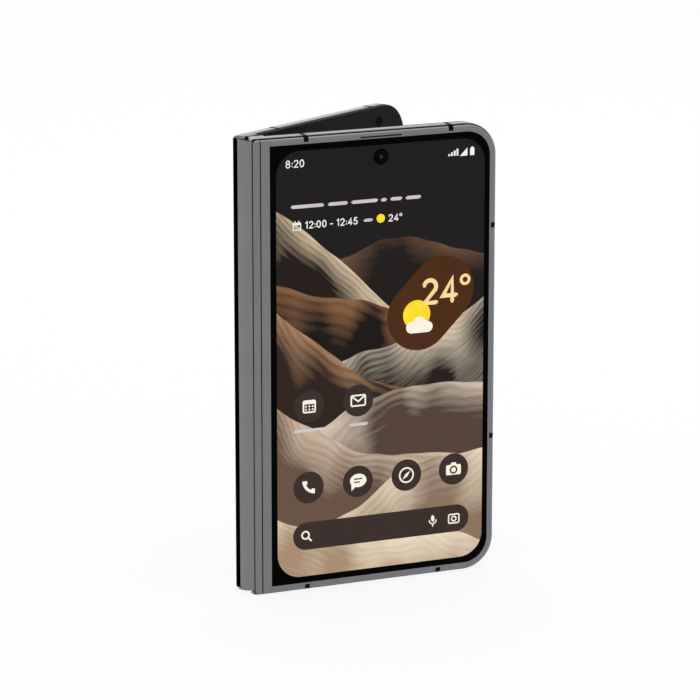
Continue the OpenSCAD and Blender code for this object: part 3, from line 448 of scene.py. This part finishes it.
def piece_from(name, bm, body, material, smooth=False):
    """Turns a mesh in the making into a piece that rides on a body (or on nothing yet)."""
    bmesh.ops.recalc_face_normals(bm, faces=bm.faces)
    data = bpy.data.meshes.new(name)
    bm.to_mesh(data)
    bm.free()
    data.materials.append(material)
    for p in data.polygons:
        p.use_smooth = smooth
    piece = bpy.data.objects.new(name, data)
    bpy.context.scene.collection.objects.link(piece)
    if body:
        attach(piece, body)
    return piece


def arc(cx, cy, r, start, end, steps=24, ry=None):
    """Points along an arc from one angle to another, in degrees."""
    return [(cx + r * math.cos(math.radians(start + (end - start) * i / steps)),
             cy + (ry or r) * math.sin(math.radians(start + (end - start) * i / steps)))
            for i in range(steps + 1)]


def disc(cx, cy, r, steps=48):
    return arc(cx, cy, r, 0, 360, steps)[:-1]


def rounded(x0, y0, x1, y1, r, steps=8):
    """A rectangle with round corners."""
    corners = ((x1 - r, y0 + r, -90), (x1 - r, y1 - r, 0), (x0 + r, y1 - r, 90), (x0 + r, y0 + r, 180))
    return [p for cx, cy, start in corners for p in arc(cx, cy, r, start, start + 90, steps)]


def pill(cx, cy, r, reach, turn, steps=32):
    """A round-ended shape: two half circles moved apart along a direction."""
    dx, dy = reach * math.cos(math.radians(turn)), reach * math.sin(math.radians(turn))
    return (arc(cx + dx, cy + dy, r, turn - 90, turn + 90, steps)
            + arc(cx - dx, cy - dy, r, turn + 90, turn + 270, steps))


# strokes of plain figures one unit high: ([(path, closed), ...], width)
DIGITS = {
    "0": ([(arc(0.31, 0.5, 0.25, 0, 360, 32, 0.44)[:-1], True)], 0.70),
    "1": ([([(0.06, 0.78), (0.26, 0.94), (0.26, 0.06)], False)], 0.42),
    "2": ([(arc(0.30, 0.68, 0.25, 165, -32, 18) + [(0.07, 0.06), (0.56, 0.06)], False)], 0.66),
    "4": ([([(0.46, 0.06), (0.46, 0.92), (0.07, 0.28), (0.62, 0.28)], False)], 0.72),
    "5": ([([(0.50, 0.94), (0.16, 0.94), (0.12, 0.55)] + arc(0.27, 0.33, 0.26, 105, -145, 20),
            False)], 0.64),
    "8": ([(disc(0.30, 0.72, 0.21, 28), True), (disc(0.30, 0.29, 0.24, 28), True)], 0.66),
    "o": ([(disc(0.175, 0.84, 0.165, 24), True)], 0.35),
    "-": ([([(0.0, 0.38), (0.35, 0.38)], False)], 0.45),
    " ": ([], 0.25),
}


# the degree ring's stroke as a share of the figures' stroke
RING_STROKE = 0.72


def figures(sheet, text, x, y, size, stroke, low, high, gap=0.12):
    """Draws figures from left to right and returns where they end."""
    for char in text:
        if char == ":":
            for rise in (0.18, 0.56):
                sheet.shape(disc(x + 0.1 * size, y + rise * size, 0.085 * size, 16), low, high)
            x += 0.32 * size
            continue
        strokes, wide = DIGITS[char]
        line = stroke * (RING_STROKE if char == "o" else 1)
        for path, closed in strokes:
            sheet.ribbon([(x + px * size, y + py * size) for px, py in path], line, low, high, closed)
        x += (wide + gap) * size
    return x


# ---------- the cover screen's picture ----------

SCREEN = (7.3, 4.4, 75.2, 135.3)
SCREEN_R = 7.5
PUNCH = (41.1, 131.7)
PUNCH_R = 2.45
# marks lie in thin layers on the glass, each a little above the one below it
LAYER_T = 0.03
LAP = 0.01


def layer(k):
    """Lowest and highest v of a mark in layer k."""
    return HALF_T + LAYER_T * k - LAP, HALF_T + LAYER_T * (k + 1)


def lit(net, shader, colour):
    """A part of the screen that shines, under smooth glass."""
    shader.inputs["Base Color"].default_value = (0.002, 0.002, 0.002, 1)
    net.put(colour, shader.inputs["Emission Color"])
    shader.inputs["Emission Strength"].default_value = 1.0
    shader.inputs["Roughness"].default_value = 0.06
    shader.inputs["Specular IOR Level"].default_value = 0.04


# height at mid width, slope, swell, its length, phase, depth of the shade, ripple width,
# ripple weight, crest colour, shade colour
DUNES = [
    (101, -0.06, 5.0, 104, 4.6, 13, 3.2, 0.10, (104, 76, 56), (31, 26, 26)),
    (93, -0.62, 3.5, 84, 1.0, 17, 2.6, 0.30, (214, 192, 160), (36, 27, 24)),
    (84, -0.50, 5.0, 70, 3.6, 20, 3.4, 0.35, (138, 98, 68), (27, 21, 20)),
    (73, 0.50, 4.5, 96, 0.2, 19, 2.2, 0.20, (232, 216, 192), (38, 29, 26)),
    (66, -0.66, 5.0, 80, 2.6, 18, 3.0, 0.35, (172, 132, 98), (46, 34, 29)),
    (55, 0.30, 5.0, 88, 5.2, 20, 3.6, 0.22, (214, 196, 176), (84, 66, 57)),
    (43, -0.40, 4.5, 66, 1.9, 21, 2.6, 0.28, (206, 184, 160), (104, 82, 68)),
    (29, 0.26, 4.0, 80, 3.2, 22, 3.2, 0.20, (232, 216, 188), (138, 114, 94)),
    (14, -0.18, 3.5, 60, 1.1, 20, 2.6, 0.18, (238, 224, 196), (168, 140, 114)),
]


def picture_material():
    """Overlapping dunes with fine ripples, dark above and pale below."""
    m, net, shader = new_material("dune_picture")
    u, z = net.along(FRONT, "u"), net.along(FRONT, "z")
    colour = net.ramp(net.spread(z, 60, 130, 0, 1),
                      [(0.0, (42, 33, 31)), (0.5, (31, 27, 28)), (1.0, (28, 25, 27))])
    off = net.math("SUBTRACT", u, (SCREEN[0] + SCREEN[2]) / 2)

    def patch(across, up, scales, seed, *detail):
        """Noise over the picture, stretched by a scale each way; a seed for each dune."""
        at = net.combine(net.math("MULTIPLY", across, scales[0]),
                         net.math("MULTIPLY", up, scales[1]), seed)
        return net.noise(at, 1.0, *detail)

    for k, dune in enumerate(DUNES):
        height, slope, swell, length, phase, depth, width, weight, crest, shade = dune
        wander = net.noise(net.combine(net.math("MULTIPLY", u, 0.035), 7.3 * k), 1.0, 2.0, 0.4)
        wave = net.math("SINE", net.math("MULTIPLY_ADD", u, 2 * math.pi / length, phase))
        ridge = net.math("MULTIPLY_ADD", wave, swell, net.math("MULTIPLY_ADD", off, slope, height))
        ridge = net.math("MULTIPLY_ADD", net.math("SUBTRACT", wander, 0.5), 12.0, ridge)
        below = net.math("SUBTRACT", ridge, z)
        fan = net.math("MULTIPLY_ADD", off, 0.35 * slope, below)
        bend = patch(u, z, (0.05, 0.03), 3.1 * k, 1.0, 0.5)
        ripple = net.math("MULTIPLY", net.math("MULTIPLY_ADD", bend, 22.0, fan), 2 * math.pi / width)
        ripple = net.math("POWER", net.spread(net.math("SINE", ripple), -1.0, 1.0, 0, 1), 1.6)
        strands = patch(u, fan, (0.07, 1.3), 5.7 * k, 4.0, 0.65, 0.2)
        broad = patch(u, z, (0.055, 0.03), 4.9 * k, 1.0, 0.5)
        fade = net.math("POWER", net.math("DIVIDE", below, depth, clamp=True), 0.7)
        tone = net.math("MULTIPLY_ADD", net.math("SUBTRACT", strands, 0.5), 0.42, fade)
        tone = net.math("ADD", tone, net.spread(broad, 0.36, 0.64, 0.55, -0.15))
        reach = net.math("MULTIPLY", net.math("SUBTRACT", 1.0, fade), weight)
        tone = net.math("MULTIPLY_ADD", ripple, reach, tone, clamp=True)
        here = net.mix(tone, linear(crest), linear(shade))
        colour = net.mix(net.math("DIVIDE", below, 0.3, clamp=True), colour, here)
    lit(net, shader, colour)
    return m


def glow_material(name, low, high):
    """A lit mark on the screen, its tone varying a little from place to place."""
    m, net, shader = new_material(name)
    clouds = net.noise(net.place(), 250.0, 2.0, 0.5)
    lit(net, shader, net.ramp(clouds, [(0.25, low), (0.75, high)]))
    return m


chip = glow_material("chip_tone", (54, 43, 39), (60, 48, 44))
brown = glow_material("weather_tone", (72, 40, 17), (79, 45, 20))
cream = glow_material("mark_cream", (246, 240, 220), (252, 247, 230))
white = glow_material("mark_white", (236, 236, 234), (250, 250, 248))
amber = glow_material("mark_amber", (252, 208, 148), (255, 224, 170))
yellow = glow_material("mark_yellow", (250, 206, 20), (255, 232, 50))
pale = glow_material("mark_pale", (196, 191, 186), (212, 207, 202))

picture = Sheet()
picture.pierced(rounded(*SCREEN, SCREEN_R, 16), [disc(*PUNCH, PUNCH_R, 64)], *layer(0))
picture.finish("cover_picture", picture_material())

# dark chips behind the marks
APPS = [(17.7, 57.4), (33.7, 57.6)]
DOCK = [(17.4, 32.2), (33.6, 32.3), (49.7, 32.5), (65.5, 32.7)]
CHIP_R = 4.95
chips = Sheet()
for centre in APPS + DOCK:
    chips.shape(disc(*centre, CHIP_R), *layer(1))
chips.shape(rounded(12.3, 12.7, 70.7, 21.3, 4.28, 12), *layer(1))
chips.finish("screen_chips", chip)

# weather shape with a number, a sun and a cloud
weather = Sheet()
weather.shape(pill(57.5, 85.6, 10.5, 5.4, 45), *layer(1))
weather.finish("weather_shape", brown)
number = Sheet()
figures(number, "24o", 54.9, 85.2, 8.0, 1.3, *layer(2), gap=0.10)
number.finish("weather_number", amber)
sun = Sheet()
sun.shape(disc(52.9, 82.4, 4.5), *layer(2))
sun.finish("weather_sun", yellow)
cloud = Sheet()
puffs = ((51.2, 78.5, 1.8, 270, 75), (53.8, 79.7, 2.1, 150, 20), (56.5, 78.4, 1.7, 90, -90))
cloud.shape([p for puff in puffs for p in arc(*puff, 12)], *layer(3))
cloud.finish("weather_cloud", cream)

# the time, the signal and the battery; a date line of plain figures
status = Sheet()
figures(status, "8:20", 10.4, 130.4, 2.35, 0.31, *layer(1))
status.shape([(66.9, 130.0), (69.4, 130.0), (69.4, 132.4)], *layer(1))
status.shape([(70.3, 130.0), (71.7, 130.0), (71.7, 132.2), (71.35, 132.2), (71.35, 132.6), (70.65, 132.6),
              (70.65, 132.2), (70.3, 132.2)], *layer(1))
for k in range(4):
    status.shape([(63.1 + 0.9 * k, 130.2), (63.7 + 0.9 * k, 130.2), (63.7 + 0.9 * k, 130.8 + 0.5 * k),
                  (63.1 + 0.9 * k, 130.8 + 0.5 * k)], *layer(1))
figures(status, "12:00 - 12:45", 16.6, 111.8, 2.2, 0.34, *layer(1))
status.ribbon(rounded(12.7, 111.6, 15.1, 113.7, 0.25, 3), 0.28, *layer(1), closed=True)
status.shape([(12.7, 113.1), (15.1, 113.1), (15.1, 113.8), (12.7, 113.8)], *layer(1))
for x in (13.3, 14.5):
    status.ribbon([(x, 113.8), (x, 114.3)], 0.28, *layer(1))
figures(status, "24o", 43.6, 111.8, 2.2, 0.34, *layer(1))
status.finish("status_figures", white)
little_sun = Sheet()
little_sun.shape(disc(41.0, 113.0, 1.35, 24), *layer(1))
little_sun.finish("little_sun", yellow)

# bars where a screen has words: (start, end, z, thickness)
BARS = [(12.0, 22.6, 118.6, 1.05), (23.9, 30.3, 118.6, 1.05), (31.4, 40.1, 118.6, 1.05),
        (41.0, 43.0, 118.6, 1.05), (44.1, 48.0, 118.6, 1.05), (49.1, 54.2, 118.6, 1.05),
        (35.4, 38.4, 112.8, 0.9), (12.6, 22.8, 50.0, 0.9), (30.6, 36.9, 50.2, 0.9)]
bars = Sheet()
for start, end, z, thick in BARS:
    bars.ribbon([(start + thick / 2, z), (end - thick / 2, z)], thick, *layer(1))
bars.finish("word_bars", pale)

# marks on the chips: a calculator, an envelope, a handset, a bubble, a compass and a camera
HANDSET = [(183, 267, 4.3), (266, 248, 2.8), (244, 206, 3.4), (202, 184, 2.8)]
marks = Sheet()
cx, cy = APPS[0]
marks.ribbon(rounded(cx - 1.9, cy - 1.8, cx + 1.9, cy + 1.7, 0.4, 4), 0.5, *layer(2), closed=True)
marks.shape([(cx - 1.9, cy + 0.7), (cx + 1.9, cy + 0.7), (cx + 1.9, cy + 1.7), (cx - 1.9, cy + 1.7)],
            *layer(2))
for i in range(3):
    for j in range(2):
        marks.shape(disc(cx - 1.1 + 1.1 * i, cy - 0.95 + 0.95 * j, 0.3, 12), *layer(2))
cx, cy = APPS[1]
marks.ribbon(rounded(cx - 2.3, cy - 1.6, cx + 2.3, cy + 1.6, 0.4, 4), 0.5, *layer(2), closed=True)
marks.ribbon([(cx - 2.2, cy + 1.4), (cx, cy - 0.3), (cx + 2.2, cy + 1.4)], 0.5, *layer(2))
cx, cy = DOCK[0]
marks.shape([p for start, end, r in HANDSET
             for p in arc(cx + 2.25, cy + 2.25, r, start, end, 12)], *layer(2))
cx, cy = DOCK[1]
marks.shape(arc(cx + 0.1, cy + 0.3, 2.7, -110, 212, 32, 2.1) + [(cx - 2.1, cy - 2.8)], *layer(2))
cx, cy = DOCK[2]
marks.ribbon(disc(cx, cy, 2.25, 36), 0.5, *layer(2), closed=True)
marks.shape([(cx + 1.3, cy + 1.3), (cx + 0.35, cy - 0.35), (cx - 1.3, cy - 1.3), (cx - 0.35, cy + 0.35)],
            *layer(2))
cx, cy = DOCK[3]
marks.shape(rounded(cx - 2.5, cy - 1.8, cx + 2.5, cy + 1.4, 0.5, 5), *layer(2))
marks.shape([(cx - 1.1, cy + 1.3), (cx + 1.1, cy + 1.3), (cx + 0.7, cy + 2.1), (cx - 0.7, cy + 2.1)],
            *layer(2))
# search field: magnifier, microphone and viewfinder
cx, cy = 16.6, 17.0
marks.ribbon(disc(cx - 0.25, cy + 0.3, 1.15, 28), 0.5, *layer(2), closed=True)
marks.ribbon([(cx + 0.65, cy - 0.6), (cx + 1.6, cy - 1.55)], 0.55, *layer(2))
cx, cy = 58.6, 17.0
marks.ribbon([(cx, cy + 0.2), (cx, cy + 1.25)], 1.1, *layer(2))
marks.ribbon(arc(cx, cy + 0.2, 1.15, 180, 360, 16), 0.36, *layer(2))
marks.ribbon([(cx, cy - 1.0), (cx, cy - 1.75)], 0.36, *layer(2))
cx, cy = 65.7, 17.0
marks.ribbon(rounded(cx - 1.75, cy - 1.5, cx + 1.75, cy + 1.3, 0.5, 4), 0.42, *layer(2), closed=True)
marks.ribbon(disc(cx, cy - 0.1, 0.75, 24), 0.4, *layer(2), closed=True)
marks.finish("screen_marks", cream)

insets = Sheet()
cx, cy = DOCK[3]
insets.ribbon(disc(cx, cy - 0.2, 1.05, 28), 0.5, *layer(3), closed=True)
cx, cy = DOCK[1]
insets.ribbon([(cx - 1.2, cy + 0.8), (cx + 1.3, cy + 0.8)], 0.4, *layer(3))
insets.ribbon([(cx - 1.2, cy - 0.2), (cx + 0.5, cy - 0.2)], 0.4, *layer(3))
insets.finish("mark_insets", chip)


# ---------- lenses ----------

def lathe(name, profile, side, u, z, body, material, slot="lens", steps=48):
    """A turned piece about the half's outward direction; profile is (radius, v)."""
    bm = bmesh.new()
    rings = [[bm.verts.new((u + x, z + y, v)) for x, y in (disc(0, 0, r, steps) if r else [(0, 0)])]
             for r, v in profile]
    for a, b in zip(rings, rings[1:]):
        for i in range(steps):
            corners = [ring[k % len(ring)] for ring, k in ((a, i), (a, i + 1), (b, i + 1), (b, i))]
            unique = list(dict.fromkeys(corners))
            if len(unique) > 2:
                bm.faces.new(unique)
    bmesh.ops.transform(bm, matrix=half_matrix(side), verts=bm.verts)
    return piece_from(name, bm, body, material, smooth=True)


coated = surface("coated_lens", (4, 6, 18), (20, 16, 44), (0.03, 0.06), spec=0.7, coat=1.0)
small_lens = surface("small_lens", (3, 8, 9), (10, 22, 24), (0.1, 0.2), spec=0.3)
barrel = surface("lens_barrel", (16, 16, 18), (34, 34, 37), (0.25, 0.4), 0.6, grain=FINE)
black_ring = surface("lens_ring", (2, 2, 3), (5, 5, 6), (0.3, 0.4), spec=0.03, grain=FINE)


def glass_dome(r, low, rise):
    """Profile of a lens front that bulges outward."""
    turns = [math.radians(t) for t in range(0, 90, 15)]
    curve = [(r * math.cos(t), low + rise * math.sin(t)) for t in turns]
    return [(0, low), *curve, (0, low + rise)]


FRONT_LENS = HALF_T - LAP
RING_TOP = HALF_T + 0.015
lathe("cover_camera_ring", [(0, FRONT_LENS), (1.75, FRONT_LENS), (1.75, RING_TOP), (1.3, RING_TOP),
                            (1.25, HALF_T), (0, HALF_T)], FRONT, *PUNCH, "front_half", black_ring)
lathe("cover_camera_lens", glass_dome(0.7, FRONT_LENS, 0.05), FRONT, *PUNCH, "front_half", small_lens)

# the rear cameras' lenses stand in the dishes under the window: name, u and radius; a black
# mask under the window leaves them and the flash open
DISH_FLOOR, DISH_TOP = 6.5, 7.3
MASK_LOW, MASK_TOP = 7.31, 7.34
CAMERA_Z = 120.7
CAMERAS = (("wide", 19.38, 4.0), ("main", 31.38, 5.0), ("long", 43.38, 4.0))
FLASH = (53.38, 2.0)
WINDOW = (14.63, 113.45, 70.13, 127.95)
# profile of a lens barrel: share of the dish's radius, and v
BARREL = [(0.44, DISH_FLOOR), (0.52, DISH_FLOOR), (0.86, DISH_TOP), (0.95, DISH_TOP),
          (0.95, MASK_TOP), (0.80, MASK_TOP), (0.74, DISH_TOP), (0.62, 7.05), (0.60, 6.9),
          (0.47, 6.8), (0.44, 6.6), (0.44, DISH_FLOOR)]
for name, u, r in CAMERAS:
    lathe(name + "_camera_barrel", [(share * r, v) for share, v in BARREL], REAR, u, CAMERA_Z,
          "rear_half", barrel)
    lathe(name + "_camera_glass", glass_dome(0.44 * r, DISH_FLOOR, 0.5), REAR, u, CAMERA_Z,
          "rear_half", coated)
mask = Sheet()
mask_r = (WINDOW[3] - WINDOW[1]) / 2
mask.pierced(rounded(*WINDOW, mask_r, 24), [disc(u, CAMERA_Z, 0.97 * r) for _, u, r in CAMERAS]
             + [disc(FLASH[0], CAMERA_Z, 0.9 * FLASH[1])], MASK_LOW, MASK_TOP)
mask.finish("camera_mask", black_ring, "camera_metal", REAR, "rear_half")

# ---------- the bending part of the folding screen ----------

# the panel's width on each side, its place across the spine, thickness, and its gap at each end
FILM_U = 5.95
FILM_X = 3.85
PANEL_T = 0.35
PANEL_END = 0.9
OPEN_TURN = math.pi / 2 - TILT
FILM_STEPS = 28
HALVINGS = 40
# how far the bezel reaches in from the lower and the upper end
BEZEL_END = 9.4


def spine_point(x, y, z):
    return Vector((x + SHIFT[0], y + SHIFT[1], z)) * MM


def film_strip(name, side, z0, z1, slot):
    """One side of the bending part, shaped so that it lies flat with the phone open."""
    axis = Vector((AXIS_IN, side * AXIS_IN))

    def turned(x, y, turn):
        d = Vector((x, y)) - axis
        c, s = math.cos(side * turn), -math.sin(side * turn)
        return axis + Vector((d.x * c - d.y * s, d.x * s + d.y * c))

    def step(t):
        return t * t * (3 - 2 * t)

    start = Vector((FILM_X - PANEL_T / 2, 0))
    end = turned(FILM_X - PANEL_T / 2, side * FILM_U, OPEN_TURN)
    way = end - start

    def rest(x, y):
        """Where a point of the flat panel lies at rest, found by halving."""
        low, high = 0.0, 1.0
        for _ in range(HALVINGS):
            t = (low + high) / 2
            if (turned(x, y, OPEN_TURN * step(t)) - start).dot(way) / way.length_squared > t:
                low = t
            else:
                high = t
        return turned(x, y, OPEN_TURN * step((low + high) / 2))

    bm = bmesh.new()
    loops = []
    for i in range(FILM_STEPS + 1):
        y = side * FILM_U * i / FILM_STEPS
        near, far = rest(FILM_X, y), rest(FILM_X - PANEL_T, y)
        corners = ((near, z0), (near, z1), (far, z1), (far, z0))
        loops.append([bm.verts.new(spine_point(p.x, p.y, z)) for p, z in corners])
    for a, b in zip(loops, loops[1:]):
        for i in range(4):
            j = (i + 1) % 4
            bm.faces.new((a[i], a[j], b[j], b[i]))
    bm.faces.new(loops[0])
    bm.faces.new(list(reversed(loops[-1])))
    piece = piece_from(name, bm, None, finish[slot])
    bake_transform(piece)
    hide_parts("fold_film")


for side_name, side in (("front", FRONT), ("rear", REAR)):
    for name, z0, z1, slot in (("bezel_foot", PANEL_END, BEZEL_END, "bezel_plastic"),
                               ("folding_screen", BEZEL_END, HEIGHT - BEZEL_END, "folding_screen"),
                               ("bezel_head", HEIGHT - BEZEL_END, HEIGHT - PANEL_END, "bezel_plastic")):
        film_strip(f"{name}_{side_name}_bend", side, z0, z1, slot)

# ---------- studio ----------

def stage_mesh(name, bm, material):
    data = bpy.data.meshes.new(name)
    bm.to_mesh(data)
    bm.free()
    data.materials.append(material)
    o = bpy.data.objects.new(name, data)
    bpy.context.scene.collection.objects.link(o)
    return o


def shown_white(net):
    """1 for the rays that show the background: camera, glossy and transmission rays."""
    path = net.add("ShaderNodeLightPath")
    seen = net.math("MAXIMUM", path.outputs["Is Camera Ray"], path.outputs["Is Glossy Ray"])
    return net.math("MAXIMUM", seen, path.outputs["Is Transmission Ray"])


def stage_material(name):
    m = bpy.data.materials.new(name)
    m.use_nodes = True
    return m, Net(m.node_tree)


FLOOR_R = 6.0
FLOOR_WHITE = (0.9, 0.9, 0.9, 1)
# share of plain white over the shaded floor, for the rays that show the background
FLOOR_GLOW = 0.86
floor_material, net = stage_material("floor")
matte = net.add("ShaderNodeBsdfDiffuse")
matte.inputs["Color"].default_value = FLOOR_WHITE
glow = net.add("ShaderNodeEmission")
join = net.add("ShaderNodeMixShader")
net.put(net.math("MULTIPLY", shown_white(net), FLOOR_GLOW), join.inputs[0])
net.put(matte.outputs[0], join.inputs[1])
net.put(glow.outputs[0], join.inputs[2])
net.put(join.outputs[0], net.add("ShaderNodeOutputMaterial").inputs[0])
bm = bmesh.new()
bmesh.ops.create_circle(bm, cap_ends=True, segments=96, radius=FLOOR_R)
stage_mesh("floor", bm, floor_material)

# the world's strength on the object
WORLD_FILL = 0.55
world = bpy.data.worlds.new("studio")
bpy.context.scene.world = world
world.use_nodes = True
net = Net(world.node_tree)
back = net.add("ShaderNodeBackground")
back.inputs["Color"].default_value = (1, 1, 1, 1)
net.put(net.spread(shown_white(net), 0, 1, WORLD_FILL, 1.0), back.inputs["Strength"])
net.put(back.outputs[0], net.add("ShaderNodeOutputWorld").inputs[0])


def softbox(name, place, target, size, energy):
    data = bpy.data.lights.new(name, "AREA")
    data.shape = "RECTANGLE"
    data.size, data.size_y = size
    data.energy = energy
    o = bpy.data.objects.new(name, data)
    bpy.context.scene.collection.objects.link(o)
    o.location = place
    o.rotation_euler = (Vector(target) - Vector(place)).to_track_quat("-Z", "Y").to_euler()


softbox("top_light", (0.25, 0.1, 1.5), (0, 0, 0.05), (2.4, 2.4), 16)
softbox("back_light", (0.5, 0.65, 1.5), (0, 0, 0.14), (1.8, 1.2), 6)

# ---------- camera ----------

CAMERA_PLACE = (-0.66365, -0.84247, 0.32888)
YAW, PITCH = math.radians(-38.294), math.radians(13.594)
SENSOR, LENS = 36, 186.2
camera_data = bpy.data.cameras.new("camera")
camera_data.sensor_width = SENSOR
camera_data.lens = LENS
camera = bpy.data.objects.new("camera", camera_data)
bpy.context.scene.collection.objects.link(camera)
camera.location = CAMERA_PLACE
forward = Vector((-math.sin(YAW) * math.cos(PITCH), math.cos(YAW) * math.cos(PITCH), -math.sin(PITCH)))
camera.rotation_euler = forward.to_track_quat("-Z", "Y").to_euler()
bpy.context.scene.camera = camera

bpy.context.scene.view_settings.view_transform = "Standard"
